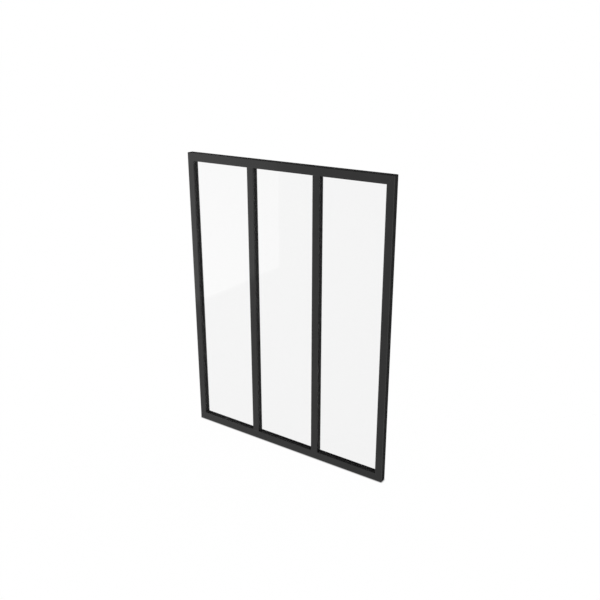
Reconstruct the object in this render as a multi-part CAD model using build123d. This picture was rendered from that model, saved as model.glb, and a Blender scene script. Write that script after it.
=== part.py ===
from build123d import *
import os

# Interior glass partition: a slim black steel frame, two full-height mullions and three fixed panes.
# Millimetres. X runs to the right as seen from the front, Y from front to back, Z up.
# The origin is the centre of the bottom rail's underside.

# Whole frame
frame_width = 931.0
frame_height = 1205.0
frame_depth = 28.0
frame_corner_radius = 4.0

# Faces of the members, as seen from the front
stile_width = 31.0
mullion_width = 31.0
rail_height = 34.0

# Steel tubes: a nose at the front of each tube is the fixed stop that the glass is pressed against
tube_wall = 1.5
inner_edge_radius = 1.5
stile_nose = 10.0
mullion_nose = 10.0
rail_nose = 11.0
nose_depth = 10.5

# Glass and what bears on it
glass_thickness = 4.0
glass_arris = 0.5
glass_edge_clearance = 3.0
gasket_thickness = 1.5
gasket_cover = 6.0
gasket_proud = 0.8
gasket_lip_radius = 0.6
block_length = 60.0
block_inset = 45.0

# Glazing beads behind the glass
bead_wall = 1.2
bead_edge_radius = 1.0
bead_fit = 0.2
bead_end_gap = 0.3

# Places that follow from the sizes above
tube_edge_radius = inner_edge_radius + tube_wall
front = -frame_depth / 2
back = frame_depth / 2
nose_back = front + nose_depth
glass_front = nose_back + gasket_thickness
glass_back = glass_front + glass_thickness
bead_front = glass_back + gasket_thickness
half_width = frame_width / 2
pane_names = ["left_pane", "middle_pane", "right_pane"]
pane_count = len(pane_names)
daylight_width = (frame_width - 2 * stile_width - (pane_count - 1) * mullion_width) / pane_count
daylight_height = frame_height - 2 * rail_height
daylight_step = daylight_width + mullion_width
middle_height = frame_height / 2


def rounded_outline(corners, rounded, radius):
    """A closed flat outline; the corners numbered in rounded are made round."""
    points = [corners[i] for i in rounded]
    face = make_face(Polyline(corners, close=True))
    return fillet([v for v in face.vertices() if (v.X, v.Y) in points], radius)


def hollow_tube(outline, inside, rounded, length):
    """A straight tube along +Z of its sketch: a closed outline less the outline of its hollow."""
    outer = rounded_outline(outline, rounded, tube_edge_radius)
    hollow = rounded_outline(inside, rounded, inner_edge_radius)
    return extrude(outer - hollow, amount=length)


# The two front corners and the outer back corner of an edge tube, as numbered in its outline
edge_rounded = [0, 1, 5]


def edge_outline(width, nose):
    """L-shaped outline of the outer frame's tubes, outer face at x = 0, front face at y = 0."""
    box = width - nose
    return [
        (0, 0),
        (width, 0),
        (width, nose_depth),
        (box, nose_depth),
        (box, frame_depth),
        (0, frame_depth),
    ]


def edge_tube(width, nose, length):
    """L-shaped tube of the outer frame."""
    box = width - nose
    w = tube_wall
    inside = [
        (w, w),
        (width - w, w),
        (width - w, nose_depth - w),
        (box - w, nose_depth - w),
        (box - w, frame_depth - w),
        (w, frame_depth - w),
    ]
    return hollow_tube(edge_outline(width, nose), inside, edge_rounded, length)


def mullion_tube(length):
    """T-shaped tube with a nose to each side, centred on x = 0, front face at y = 0."""
    half = mullion_width / 2
    web = half - mullion_nose
    w = tube_wall
    outline = [
        (-half, 0),
        (half, 0),
        (half, nose_depth),
        (web, nose_depth),
        (web, frame_depth),
        (-web, frame_depth),
        (-web, nose_depth),
        (-half, nose_depth),
    ]
    inside = [
        (w - half, w),
        (half - w, w),
        (half - w, nose_depth - w),
        (web - w, nose_depth - w),
        (web - w, frame_depth - w),
        (w - web, frame_depth - w),
        (w - web, nose_depth - w),
        (w - half, nose_depth - w),
    ]
    front_corners = [0, 1]
    return hollow_tube(outline, inside, front_corners, length)


def block_between(x, y, z):
    """A plain block between two coordinates on each axis."""
    size = [x[1] - x[0], y[1] - y[0], z[1] - z[0]]
    return Pos((x[0] + x[1]) / 2, (y[0] + y[1]) / 2, (z[0] + z[1]) / 2) * Box(*size)


def mitred(tube, corners):
    """A tube cut to its outline as seen from the front: its ends mitred, the frame's corners rounded."""
    outline = make_face(Polyline(corners, close=True))
    whole = Pos(0, middle_height) * RectangleRounded(frame_width, frame_height, frame_corner_radius)
    return tube & extrude(Plane.XZ * (outline & whole), amount=frame_depth, both=True)


def make_left_stile():
    """Full-height L tube on the left, mitred to both rails."""
    place = Plane(origin=(-half_width, front, 0), x_dir=(1, 0, 0), z_dir=(0, 0, 1))
    tube = place * edge_tube(stile_width, stile_nose, frame_height)
    inner = stile_width - half_width
    corners = [
        (-half_width, 0),
        (inner, rail_height),
        (inner, frame_height - rail_height),
        (-half_width, frame_height),
    ]
    return mitred(tube, corners)


def rail_plane():
    """Sketch plane of the bottom rail's section, at its right-hand end."""
    return Plane(origin=(half_width, front, 0), x_dir=(0, 0, 1), z_dir=(-1, 0, 0))


def make_bottom_rail():
    """Full-width L tube at the bottom, mitred to both stiles."""
    tube = rail_plane() * edge_tube(rail_height, rail_nose, frame_width)
    inner = half_width - stile_width
    corners = [(-half_width, 0), (half_width, 0), (inner, rail_height), (-inner, rail_height)]
    return mitred(tube, corners)


def make_mullion(centre_x):
    """Full-height T tube between the rails, its ends cut to fit the rails they are welded to."""
    foot = rail_height - rail_nose
    tube = Pos(centre_x, front, foot) * mullion_tube(frame_height - 2 * foot)
    section = rounded_outline(edge_outline(rail_height, rail_nose), edge_rounded, tube_edge_radius)
    bottom_cut = rail_plane() * extrude(section, amount=frame_width)
    top_cut = mirror(bottom_cut, Plane.XY.offset(middle_height))
    return tube - bottom_cut - top_cut


def make_pane(left_x, left_nose, right_nose):
    """One sheet of glass, held back from the rebate all round, with its edges arrissed."""
    left = left_x - left_nose + glass_edge_clearance
    right = left_x + daylight_width + right_nose - glass_edge_clearance
    foot = rail_height - rail_nose + glass_edge_clearance
    sheet = block_between((left, right), (glass_front, glass_back), (foot, frame_height - foot))
    return chamfer(sheet.edges(), glass_arris)


def make_gasket(left_x, near, far, lip_face):
    """Rubber loop between the glass and its stop; its rounded lip shows in the daylight opening."""
    centre_x = left_x + daylight_width / 2
    outer = Rectangle(daylight_width + 2 * gasket_cover, daylight_height + 2 * gasket_cover)
    inner = Rectangle(daylight_width - 2 * gasket_proud, daylight_height - 2 * gasket_proud)
    plane = Plane(origin=(centre_x, far, middle_height), x_dir=(1, 0, 0), z_dir=(0, -1, 0))
    loop = extrude(plane * (outer - inner), amount=far - near)
    opening = [e for e in loop.edges().filter_by(GeomType.LINE) if on_lip(e, centre_x, lip_face)]
    return fillet(opening, gasket_lip_radius)


def on_lip(edge, centre_x, lip_face):
    """True for an edge of the gasket's inner opening on its outward face."""
    middle = edge.center()
    inside_x = abs(middle.X - centre_x) < daylight_width / 2
    inside_z = abs(middle.Z - middle_height) < daylight_height / 2
    return inside_x and inside_z and abs(middle.Y - lip_face) < gasket_thickness / 4


def make_bead(width, length, place):
    """Hollow glazing bead: daylight face at x = 0, back face at y = 0, seat on the tube at x = width."""
    depth = back - bead_front
    outer = rounded_outline([(0, 0), (width, 0), (width, depth), (0, depth)], [0], bead_edge_radius)
    w = bead_wall
    inside = [(w, w), (width - w, w), (width - w, depth - w), (w, depth - w)]
    hollow = make_face(Polyline(inside, close=True))
    return place * extrude(outer - hollow, amount=length)


def make_beads(left_x, left_nose, right_nose):
    """Four beads of one pane: top and bottom run across the rebate, the sides fit between them."""
    right_x = left_x + daylight_width
    rail_width = rail_nose - bead_fit
    seat_left = left_x - left_nose + bead_fit
    seat_right = right_x + right_nose - bead_fit
    top_z = frame_height - rail_height
    side_foot = rail_height + bead_end_gap
    side_length = daylight_height - 2 * bead_end_gap
    across = seat_right - seat_left
    top = Plane(origin=(seat_left, back, top_z), x_dir=(0, 0, 1), z_dir=(1, 0, 0))
    bottom = Plane(origin=(seat_right, back, rail_height), x_dir=(0, 0, -1), z_dir=(-1, 0, 0))
    left = Plane(origin=(left_x, back, side_foot), x_dir=(-1, 0, 0), z_dir=(0, 0, 1))
    side_head = side_foot + side_length
    right = Plane(origin=(right_x, back, side_head), x_dir=(1, 0, 0), z_dir=(0, 0, -1))
    return {
        "top_bead": make_bead(rail_width, across, top),
        "bottom_bead": make_bead(rail_width, across, bottom),
        "left_bead": make_bead(left_nose - bead_fit, side_length, left),
        "right_bead": make_bead(right_nose - bead_fit, side_length, right),
    }


def make_setting_block(centre_x):
    """Plastic block on the bottom rail that carries the glass."""
    seat = rail_height - rail_nose
    x = (centre_x - block_length / 2, centre_x + block_length / 2)
    return block_between(x, (glass_front, glass_back), (seat, seat + glass_edge_clearance))


def make_parts():
    """Every piece of the partition, by node name."""
    parts = {}
    parts["left_stile"] = make_left_stile()
    parts["right_stile"] = mirror(parts["left_stile"], Plane.YZ)
    parts["bottom_rail"] = make_bottom_rail()
    parts["top_rail"] = mirror(parts["bottom_rail"], Plane.XY.offset(middle_height))
    first_x = stile_width - half_width
    for i, side in enumerate(["left", "right"]):
        centre_x = first_x + daylight_width + mullion_width / 2 + i * daylight_step
        parts[side + "_mullion"] = make_mullion(centre_x)
    for i, name in enumerate(pane_names):
        left_x = first_x + i * daylight_step
        right_x = left_x + daylight_width
        left_nose = stile_nose if i == 0 else mullion_nose
        right_nose = stile_nose if i == pane_count - 1 else mullion_nose
        parts[name] = make_pane(left_x, left_nose, right_nose)
        parts[name + "_front_gasket"] = make_gasket(left_x, nose_back, glass_front, nose_back)
        parts[name + "_back_gasket"] = make_gasket(left_x, glass_back, bead_front, bead_front)
        for edge, bead in make_beads(left_x, left_nose, right_nose).items():
            parts[name + "_" + edge] = bead
        parts[name + "_left_block"] = make_setting_block(left_x + block_inset)
        parts[name + "_right_block"] = make_setting_block(right_x - block_inset)
    return parts


os.makedirs("parts", exist_ok=True)
for name, piece in make_parts().items():
    piece.label = name
    export_step(piece, "parts/" + name + ".step")
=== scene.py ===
import math

import bpy
from mathutils import Euler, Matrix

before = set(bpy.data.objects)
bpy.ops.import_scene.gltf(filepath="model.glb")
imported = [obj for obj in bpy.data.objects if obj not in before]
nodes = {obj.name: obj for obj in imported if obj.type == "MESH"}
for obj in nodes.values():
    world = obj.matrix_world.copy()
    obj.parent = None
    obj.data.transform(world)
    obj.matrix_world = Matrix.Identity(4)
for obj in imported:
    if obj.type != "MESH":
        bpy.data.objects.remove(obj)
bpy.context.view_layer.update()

# The outer frame: two stiles and two rails, L-shaped steel tubes mitred at the corners, welded and ground
# flush, then powder coated as one piece in a smooth black with a soft shine and a trace of orange peel.
# The coat is thinnest on the rounded edges, which polish first where hands and cloths pass.

# Colours: red, green, blue and opacity
COAT_BLACK = (0.0122, 0.0122, 0.0122, 1.0)
COAT_WORN = (0.036, 0.036, 0.036, 1.0)
COAT_DUST = (0.060, 0.060, 0.060, 1.0)

# Noise: lumps to the metre, levels of finer lumps, and how strong these are
COAT_PATCHES = (7.0, 4.0, 0.5)
COAT_GRAIN = (1100.0, 3.0, 0.6)
COAT_PEEL = (240.0, 2.0, 0.5)
COAT_HANDLING = (35.0, 2.0, 0.5)
COAT_DUSTING = (60.0, 6.0, 0.5)

# Ranges: where noise has most of its values, and the shares that these are turned into
NOISE_SPREAD = (0.3, 0.7)
RISING = (0.0, 1.0)
PATCH_SHARE = (0.0, 0.18)
HANDLING_SPREAD = (0.35, 0.65)
HANDLING_SHARE = (0.25, 1.0)
DUSTING_SPREAD = (0.4, 0.7)
DUSTING_SHARE = (0.2, 1.0)

# Dust lies where the surface faces up: the upward part of its normal, and the dust there
DUST_SLOPE = (0.6, 0.95)
DUST_COVER = (0.0, 0.35)

# How much of the worn colour the edges take, and of the dust's colour the dusty places
WORN_SHARE = 0.5
DUST_TINT = 0.12

# Shine: the coat's refractive index, its roughness over the patches, what the grain adds to that, what
# handling takes away and what dust adds
COAT_IOR = 1.47
COAT_ROUGHNESS = (0.08, 0.13)
COAT_SPECKLE = (-0.02, 0.02)
COAT_POLISH = 0.03
DUST_DULLING = 0.5

# Metres: depths of the bumps, and how far from an edge the coat is thin
COAT_GRAIN_DEPTH = 0.000006
COAT_PEEL_DEPTH = 0.000030
COAT_EDGE_REACH = 0.003

# Cosines of the turn at an edge: where it starts to show and where it shows in full
EDGE_TURN = (0.995, 0.9)

# Rays sent out from each point to find that turn
EDGE_SAMPLES = 8

# The Mix node's first input, second input and result, as numbered for colours and for plain numbers
MIX_SOCKETS = {"RGBA": (6, 7, 2), "FLOAT": (2, 3, 0)}


def feed(tree, value, socket):
    """Gives a socket its value: a node's output is linked to it, a number or colour is set on it."""
    if isinstance(value, bpy.types.NodeSocket):
        tree.links.new(value, socket)
    else:
        socket.default_value = value


def new_material(name):
    """A node material, with its tree and its Principled shader."""
    material = bpy.data.materials.new(name)
    material.use_nodes = True
    tree = material.node_tree
    return material, tree, tree.nodes["Principled BSDF"]


def place_on_piece(tree):
    """The place on the piece, in metres."""
    return tree.nodes.new("ShaderNodeTexCoord").outputs["Object"]


def noise(tree, place, per_metre, detail, roughness, distortion=0.0):
    """Noise with about that many lumps to the metre."""
    node = tree.nodes.new("ShaderNodeTexNoise")
    node.inputs["Scale"].default_value = per_metre
    node.inputs["Detail"].default_value = detail
    node.inputs["Roughness"].default_value = roughness
    node.inputs["Distortion"].default_value = distortion
    tree.links.new(place, node.inputs["Vector"])
    return node.outputs["Fac"]


def remap(tree, value, source, target):
    """The value, taken from the source range to the target range and held there."""
    node = tree.nodes.new("ShaderNodeMapRange")
    for number, socket in zip((*source, *target), node.inputs[1:5]):
        feed(tree, number, socket)
    feed(tree, value, node.inputs["Value"])
    return node.outputs["Result"]


def combine(tree, operation, a, b):
    """Two values put together by a maths operation. Either may be a plain number."""
    node = tree.nodes.new("ShaderNodeMath")
    node.operation = operation
    feed(tree, a, node.inputs[0])
    feed(tree, b, node.inputs[1])
    return node.outputs["Value"]


def blend(tree, kind, share, first, second):
    """first turning to second as share goes from 0 to 1, for colours (RGBA) or plain numbers (FLOAT)."""
    node = tree.nodes.new("ShaderNodeMix")
    node.data_type = kind
    first_input, second_input, result = MIX_SOCKETS[kind]
    feed(tree, share, node.inputs["Factor"])
    feed(tree, first, node.inputs[first_input])
    feed(tree, second, node.inputs[second_input])
    return node.outputs[result]


def bumps(tree, height, depth, under=None):
    """A bump of that depth in metres, over another one if given."""
    node = tree.nodes.new("ShaderNodeBump")
    feed(tree, depth, node.inputs["Distance"])
    feed(tree, height, node.inputs["Height"])
    if under is not None:
        feed(tree, under, node.inputs["Normal"])
    return node.outputs["Normal"]


def edge_share(tree, reach):
    """1 on edges, within reach of them, and 0 on the flats."""
    rounded = tree.nodes.new("ShaderNodeBevel")
    rounded.inputs["Radius"].default_value = reach
    rounded.samples = EDGE_SAMPLES
    flat = tree.nodes.new("ShaderNodeNewGeometry")
    turn = tree.nodes.new("ShaderNodeVectorMath")
    turn.operation = "DOT_PRODUCT"
    tree.links.new(rounded.outputs["Normal"], turn.inputs[0])
    tree.links.new(flat.outputs["Normal"], turn.inputs[1])
    return remap(tree, turn.outputs["Value"], EDGE_TURN, RISING)


def facing_up(tree):
    """The upward part of the surface's normal: 1 on a level face, 0 on an upright one."""
    normal = tree.nodes.new("ShaderNodeNewGeometry").outputs["Normal"]
    parts = tree.nodes.new("ShaderNodeSeparateXYZ")
    tree.links.new(normal, parts.inputs["Vector"])
    return parts.outputs["Z"]


def powder_coat(name):
    """Smooth black powder coat: fine grain, faint orange peel, thin edges and a little settled dust."""
    material, tree, shader = new_material(name)
    place = place_on_piece(tree)
    patches = noise(tree, place, *COAT_PATCHES)
    grain = noise(tree, place, *COAT_GRAIN)
    peel = noise(tree, place, *COAT_PEEL)

    touched = remap(tree, noise(tree, place, *COAT_HANDLING), HANDLING_SPREAD, HANDLING_SHARE)
    handled = combine(tree, "MULTIPLY", edge_share(tree, COAT_EDGE_REACH), touched)
    level = remap(tree, facing_up(tree), DUST_SLOPE, DUST_COVER)
    settled = remap(tree, noise(tree, place, *COAT_DUSTING), DUSTING_SPREAD, DUSTING_SHARE)
    dust = combine(tree, "MULTIPLY", level, settled)

    patchy = blend(tree, "RGBA", remap(tree, patches, NOISE_SPREAD, PATCH_SHARE), COAT_BLACK, COAT_WORN)
    worn = blend(tree, "RGBA", combine(tree, "MULTIPLY", handled, WORN_SHARE), patchy, COAT_WORN)
    dusty = blend(tree, "RGBA", combine(tree, "MULTIPLY", dust, DUST_TINT), worn, COAT_DUST)
    feed(tree, dusty, shader.inputs["Base Color"])

    even = remap(tree, patches, NOISE_SPREAD, COAT_ROUGHNESS)
    speckled = combine(tree, "ADD", even, remap(tree, grain, NOISE_SPREAD, COAT_SPECKLE))
    polished = combine(tree, "SUBTRACT", speckled, combine(tree, "MULTIPLY", handled, COAT_POLISH))
    dulled = combine(tree, "ADD", polished, combine(tree, "MULTIPLY", dust, DUST_DULLING))
    feed(tree, dulled, shader.inputs["Roughness"])

    soft = bumps(tree, peel, COAT_PEEL_DEPTH)
    feed(tree, bumps(tree, grain, COAT_GRAIN_DEPTH, soft), shader.inputs["Normal"])
    feed(tree, COAT_IOR, shader.inputs["IOR"])
    return material


def finish(node_name, material):
    """Puts the material on a piece of the CAD model."""
    for slot in nodes[node_name].material_slots:
        slot.material = material


frame_coat = powder_coat("black_frame_coat")
for member in ("left_stile", "right_stile", "bottom_rail", "top_rail"):
    finish(member, frame_coat)

# The mullions: T-shaped steel tubes from the same mill, their ends cut to fit the rails and welded to them.
# They are welded in before the frame is coated, so they carry the same coat.

for member in ("left_mullion", "right_mullion"):
    finish(member, frame_coat)

# Setting blocks: short bars of hard black plastic under each sheet of glass, which they keep off the steel.
# They are moulded, with a matt skin, and lie loose in the rebate.

PLASTIC_BLACK = (0.020, 0.020, 0.021, 1.0)
PLASTIC_GREY = (0.032, 0.032, 0.033, 1.0)
PLASTIC_GRAIN = (1600.0, 2.0, 0.5)
PLASTIC_FLOW = (90.0, 2.0, 0.5)
PLASTIC_ROUGHNESS = (0.52, 0.64)
PLASTIC_GRAIN_DEPTH = 0.000012
PANES = ("left_pane", "middle_pane", "right_pane")


def moulded_plastic(name):
    """Matt moulded plastic: a light grain from the mould, and flow marks."""
    material, tree, shader = new_material(name)
    place = place_on_piece(tree)
    grain = noise(tree, place, *PLASTIC_GRAIN)
    flow = remap(tree, noise(tree, place, *PLASTIC_FLOW), NOISE_SPREAD, RISING)
    feed(tree, blend(tree, "RGBA", flow, PLASTIC_BLACK, PLASTIC_GREY), shader.inputs["Base Color"])
    feed(tree, remap(tree, grain, NOISE_SPREAD, PLASTIC_ROUGHNESS), shader.inputs["Roughness"])
    feed(tree, bumps(tree, grain, PLASTIC_GRAIN_DEPTH), shader.inputs["Normal"])
    return material


block_plastic = moulded_plastic("moulded_black_blocks")
for pane in PANES:
    for side in ("left", "right"):
        finish(f"{pane}_{side}_block", block_plastic)

# Gaskets: loops of soft black rubber in front of and behind each sheet, with a rounded lip that just shows.
# The rubber is extruded, matt, and a little chalky where it is dry.

RUBBER_BLACK = (0.010, 0.010, 0.010, 1.0)
RUBBER_CHALK = (0.034, 0.034, 0.035, 1.0)
RUBBER_CHALKING = (140.0, 5.0, 0.6)
RUBBER_SKIN = (2200.0, 2.0, 0.5)
RUBBER_DRY_SPREAD = (0.45, 0.75)
RUBBER_DRY_SHARE = (0.0, 0.6)
RUBBER_ROUGHNESS = (0.62, 0.80)
RUBBER_SKIN_DEPTH = 0.000015


def glazing_rubber(name):
    """Matt extruded rubber, chalky in places."""
    material, tree, shader = new_material(name)
    place = place_on_piece(tree)
    chalk = noise(tree, place, *RUBBER_CHALKING)
    skin = noise(tree, place, *RUBBER_SKIN)
    dry = remap(tree, chalk, RUBBER_DRY_SPREAD, RUBBER_DRY_SHARE)
    feed(tree, blend(tree, "RGBA", dry, RUBBER_BLACK, RUBBER_CHALK), shader.inputs["Base Color"])
    feed(tree, remap(tree, chalk, NOISE_SPREAD, RUBBER_ROUGHNESS), shader.inputs["Roughness"])
    feed(tree, bumps(tree, skin, RUBBER_SKIN_DEPTH), shader.inputs["Normal"])
    return material


gasket_rubber = glazing_rubber("black_glazing_rubber")
for pane in PANES:
    for face in ("front", "back"):
        finish(f"{pane}_{face}_gasket", gasket_rubber)

# The glass: three sheets of clear toughened float, edges ground, held between the gaskets.
# Toughening leaves a faint roller wave in it, and wiping leaves a film that only shows close to.

GLASS_TINT = (0.942, 0.942, 0.942, 1.0)
GLASS_IOR = 1.5

# The film's noise has a fourth number, how far it is distorted
GLASS_FILM = (9.0, 6.0, 0.6, 0.4)
GLASS_FILM_SPREAD = (0.45, 0.75)
GLASS_FILM_ROUGHNESS = (0.0, 0.012)

# This scale of the Wave node gives a wave about every 175 mm
ROLLER_WAVE_SCALE = 1.8
ROLLER_WAVE_DISTORTION = 0.6
ROLLER_WAVE_DEPTH = 0.00004


def toughened_glass(name):
    """Clear glass with a roller wave and the faint film that a wiped pane keeps."""
    material, tree, shader = new_material(name)
    place = place_on_piece(tree)
    feed(tree, GLASS_TINT, shader.inputs["Base Color"])
    feed(tree, 1.0, shader.inputs["Transmission Weight"])
    feed(tree, GLASS_IOR, shader.inputs["IOR"])
    film = noise(tree, place, *GLASS_FILM)
    feed(tree, remap(tree, film, GLASS_FILM_SPREAD, GLASS_FILM_ROUGHNESS), shader.inputs["Roughness"])
    wave = tree.nodes.new("ShaderNodeTexWave")
    wave.bands_direction = "Z"
    wave.inputs["Scale"].default_value = ROLLER_WAVE_SCALE
    wave.inputs["Distortion"].default_value = ROLLER_WAVE_DISTORTION
    tree.links.new(place, wave.inputs["Vector"])
    feed(tree, bumps(tree, wave.outputs["Fac"], ROLLER_WAVE_DEPTH), shader.inputs["Normal"])
    return material


pane_glass = toughened_glass("clear_toughened_glass")
for pane in PANES:
    finish(pane, pane_glass)

# Glazing beads: hollow steel strips clipped in behind the glass, four to a sheet.
# They are coated apart from the frame, in lengths, in the same black.

bead_coat = powder_coat("black_bead_coat")
for pane in PANES:
    for edge in ("top", "bottom", "left", "right"):
        finish(f"{pane}_{edge}_bead", bead_coat)

# The studio floor: a plain pale acrylic sheet that glows evenly, with a painted shadow: its glow is dimmed
# to a dark line where the frame meets it. Reflections pass it by, so paint and glass show the studio's own
# light and dark.

FLOOR_SIZE = 120.0
FLOOR_WHITE = (0.98, 0.98, 0.98, 1.0)
FLOOR_GLOW_SHARE = 0.985
# How far from the frame the painted shadow on the floor reaches, in metres
FLOOR_PAINTED_SHADOW_REACH = 0.006
HALF_A_BOUNCE = 0.5


def after_a_mirror(tree):
    """1 for light paths that come from a shiny surface, 0 for the others."""
    path = tree.nodes.new("ShaderNodeLightPath")
    return combine(tree, "GREATER_THAN", path.outputs["Glossy Depth"], HALF_A_BOUNCE)


def glow(tree, strength):
    """Plain white light of that strength."""
    node = tree.nodes.new("ShaderNodeEmission")
    feed(tree, strength, node.inputs["Strength"])
    return node.outputs["Emission"]


def clear(tree):
    """Nothing at all: light goes straight on."""
    return tree.nodes.new("ShaderNodeBsdfTransparent").outputs["BSDF"]


def mix_shaders(tree, share, first, second):
    """first turning to second as share goes from 0 to 1."""
    node = tree.nodes.new("ShaderNodeMixShader")
    for value, socket in zip((share, first, second), node.inputs):
        feed(tree, value, socket)
    return node.outputs["Shader"]


def pale_floor(name):
    """White floor that glows, a painted shadow where the frame meets it, clear to light from shiny
    surfaces.
    """
    material, tree, shader = new_material(name)
    feed(tree, FLOOR_WHITE, shader.inputs["Base Color"])
    feed(tree, 1.0, shader.inputs["Roughness"])
    feed(tree, 0.0, shader.inputs["Specular IOR Level"])
    # Painted shadow: ambient occlusion dims the floor's glow where the frame stands close to it
    painted_contact_shadow = tree.nodes.new("ShaderNodeAmbientOcclusion")
    painted_contact_shadow.inputs["Distance"].default_value = FLOOR_PAINTED_SHADOW_REACH
    lit = mix_shaders(tree, FLOOR_GLOW_SHARE, shader.outputs["BSDF"], glow(tree, painted_contact_shadow.outputs["AO"]))
    seen = mix_shaders(tree, after_a_mirror(tree), lit, clear(tree))
    feed(tree, seen, tree.nodes["Material Output"].inputs["Surface"])
    return material


def flat_sheet(name, corners, material):
    """A flat four-cornered sheet of the studio."""
    mesh = bpy.data.meshes.new(name)
    mesh.from_pydata(corners, [], [(0, 1, 2, 3)])
    mesh.materials.append(material)
    sheet = bpy.data.objects.new(name, mesh)
    bpy.context.scene.collection.objects.link(sheet)
    return sheet


reach = FLOOR_SIZE / 2
flat_sheet(
    "studio_floor",
    [(-reach, -reach, 0), (reach, -reach, 0), (reach, reach, 0), (-reach, reach, 0)],
    pale_floor("pale_studio_floor"),
)

# The soft box: one tall lit cloth to the left of the glass, seen only in reflections.
# Its foot and its near end show as the soft edges of the pale patch in the left and middle lights.

SOFT_BOX_X = -1.40
SOFT_BOX_NEAR_Y = -1.93
SOFT_BOX_FAR_Y = -0.30
SOFT_BOX_FOOT_Z = 0.04
SOFT_BOX_TOP_Z = 2.60
SOFT_BOX_FRAY = 0.03

# Its light from the near end to the far one, and the share of it that is left from low down to high up
SOFT_BOX_LEVELS = (1.03, 1.37)
SOFT_BOX_RISE = (0.05, 1.25)
SOFT_BOX_RISE_SHARE = (1.0, 0.84)


def soft_box_cloth(name):
    """The lit cloth: brightest at the foot of its far end, and fading out at its foot and near end."""
    material, tree, shader = new_material(name)
    tree.nodes.remove(shader)
    spot = tree.nodes.new("ShaderNodeSeparateXYZ")
    tree.links.new(place_on_piece(tree), spot.inputs["Vector"])
    y, z = spot.outputs["Y"], spot.outputs["Z"]
    along = remap(tree, y, (SOFT_BOX_NEAR_Y, SOFT_BOX_FAR_Y), SOFT_BOX_LEVELS)
    upward = remap(tree, z, SOFT_BOX_RISE, SOFT_BOX_RISE_SHARE)
    light = glow(tree, combine(tree, "MULTIPLY", along, upward))
    near = remap(tree, y, (SOFT_BOX_NEAR_Y, SOFT_BOX_NEAR_Y + SOFT_BOX_FRAY), RISING)
    foot = remap(tree, z, (SOFT_BOX_FOOT_Z, SOFT_BOX_FOOT_Z + SOFT_BOX_FRAY), RISING)
    seen = mix_shaders(tree, combine(tree, "MULTIPLY", near, foot), clear(tree), light)
    feed(tree, seen, tree.nodes["Material Output"].inputs["Surface"])
    return material


soft_box = flat_sheet(
    "soft_box",
    [
        (SOFT_BOX_X, SOFT_BOX_FAR_Y, SOFT_BOX_FOOT_Z),
        (SOFT_BOX_X, SOFT_BOX_NEAR_Y, SOFT_BOX_FOOT_Z),
        (SOFT_BOX_X, SOFT_BOX_NEAR_Y, SOFT_BOX_TOP_Z),
        (SOFT_BOX_X, SOFT_BOX_FAR_Y, SOFT_BOX_TOP_Z),
    ],
    soft_box_cloth("soft_box_cloth"),
)
soft_box.visible_camera = False
soft_box.visible_diffuse = False
soft_box.visible_shadow = False

# The room: evenly white for whatever it lights. In reflections it is dim in front of the partition and low
# down behind it, has a bright wall and a window on the right, and is dark above but for a soft light
# straight overhead.

ROOM_WHITE = 1.0
ROOM_WHITE_COLOUR = (1.0, 1.0, 1.0, 1.0)
ROOM_DARK = 0.02
FALLING = (1.0, 0.0)

# Where each light lies, on the axes of the heading, which is a direction of length 1, and how strong it is
FRONT_ACROSS = (-0.70, -0.35)
FRONT_AHEAD = (-0.45, -0.10)
FRONT_HEIGHT = (0.15, 0.45)
FRONT_LEVELS = (0.74, 0.47)
RIGHT_REACH = (0.30, 1.0)
RIGHT_LEVEL = 0.9
WINDOW_SIDE = (0.0, 0.4)
WINDOW_DEPTH = (0.1, 0.7)
WINDOW_LEVEL = 0.9
BACK_ACROSS = (-0.70, 0.10)
BACK_BEHIND = (-0.15, 0.55)
BACK_HEIGHT = (0.0, 0.12)
BACK_END = (0.0, 0.28)
BACK_LEVELS = (0.80, 0.45)
OVERHEAD_RISE = (0.88, 0.97)
OVERHEAD_LEVEL = 0.45

world = bpy.data.worlds.new("studio_room")
bpy.context.scene.world = world
world.use_nodes = True
world.cycles.sampling_method = "NONE"
room = world.node_tree
heading = room.nodes.new("ShaderNodeSeparateXYZ")
room.links.new(room.nodes.new("ShaderNodeTexCoord").outputs["Generated"], heading.inputs["Vector"])


def toward(axis, source, target):
    """The target's range, as the heading on that axis goes through the source's."""
    return remap(room, heading.outputs[axis], source, target)


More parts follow.
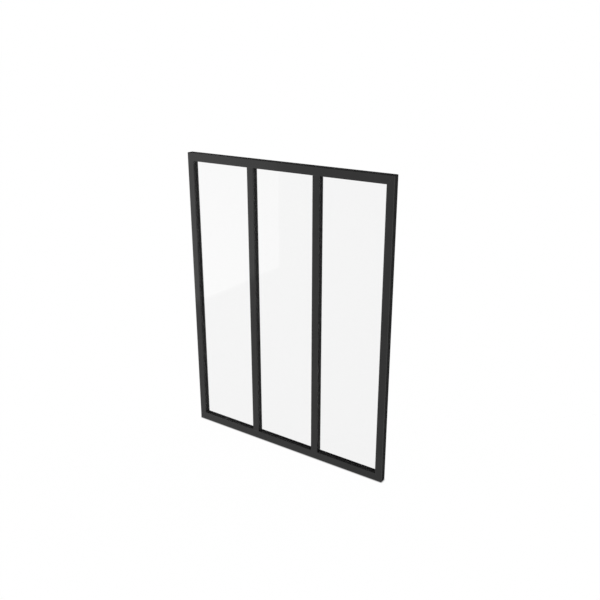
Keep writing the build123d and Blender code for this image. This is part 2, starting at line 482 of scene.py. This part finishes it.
def chain(operation, first, *others):
    """All the values put together, one after the other, by the same maths operation."""
    for other in others:
        first = combine(room, operation, first, other)
    return first


front_wall = chain(
    "MULTIPLY",
    toward("X", FRONT_ACROSS, FRONT_LEVELS),
    toward("Y", FRONT_AHEAD, FALLING),
    toward("Z", FRONT_HEIGHT, FALLING),
)
rightward = toward("X", RIGHT_REACH, RISING)
right_wall = chain("MULTIPLY", rightward, rightward, RIGHT_LEVEL)
window = chain(
    "MULTIPLY",
    toward("X", WINDOW_SIDE, RISING),
    toward("Y", WINDOW_DEPTH, FALLING),
    WINDOW_LEVEL,
)
back_wall = chain(
    "MULTIPLY",
    toward("X", BACK_ACROSS, BACK_LEVELS),
    toward("Y", BACK_BEHIND, RISING),
    toward("Z", BACK_HEIGHT, FALLING),
    toward("X", BACK_END, FALLING),
)
overhead = chain("MULTIPLY", toward("Z", OVERHEAD_RISE, RISING), OVERHEAD_LEVEL)
walls = chain("MAXIMUM", front_wall, right_wall, window, back_wall, overhead)
mirrored = combine(room, "ADD", walls, ROOM_DARK)
background = room.nodes["Background"]
feed(room, ROOM_WHITE_COLOUR, background.inputs["Color"])
feed(room, blend(room, "FLOAT", after_a_mirror(room), ROOM_WHITE, mirrored), background.inputs["Strength"])

# The camera: at the photograph's angle, above the partition and to its right, looking down at it.
# Its sensor is a common 36 mm wide, so the field alone sets how much is seen.

CAMERA_PLACE = (1.5605, -2.202, 1.6422)
CAMERA_DOWN = math.radians(19.955)
CAMERA_TURN = math.radians(34.055)
CAMERA_FIELD = math.radians(44.91)
CAMERA_SENSOR = 36.0

lens = bpy.data.cameras.new("camera")
lens.sensor_width = CAMERA_SENSOR
lens.sensor_fit = "HORIZONTAL"
lens.angle = CAMERA_FIELD
camera = bpy.data.objects.new("camera", lens)
camera.location = CAMERA_PLACE
camera.rotation_euler = Euler((math.pi / 2 - CAMERA_DOWN, 0.0, CAMERA_TURN))
bpy.context.scene.collection.objects.link(camera)
bpy.context.scene.camera = camera
bpy.context.scene.view_settings.view_transform = "Standard"
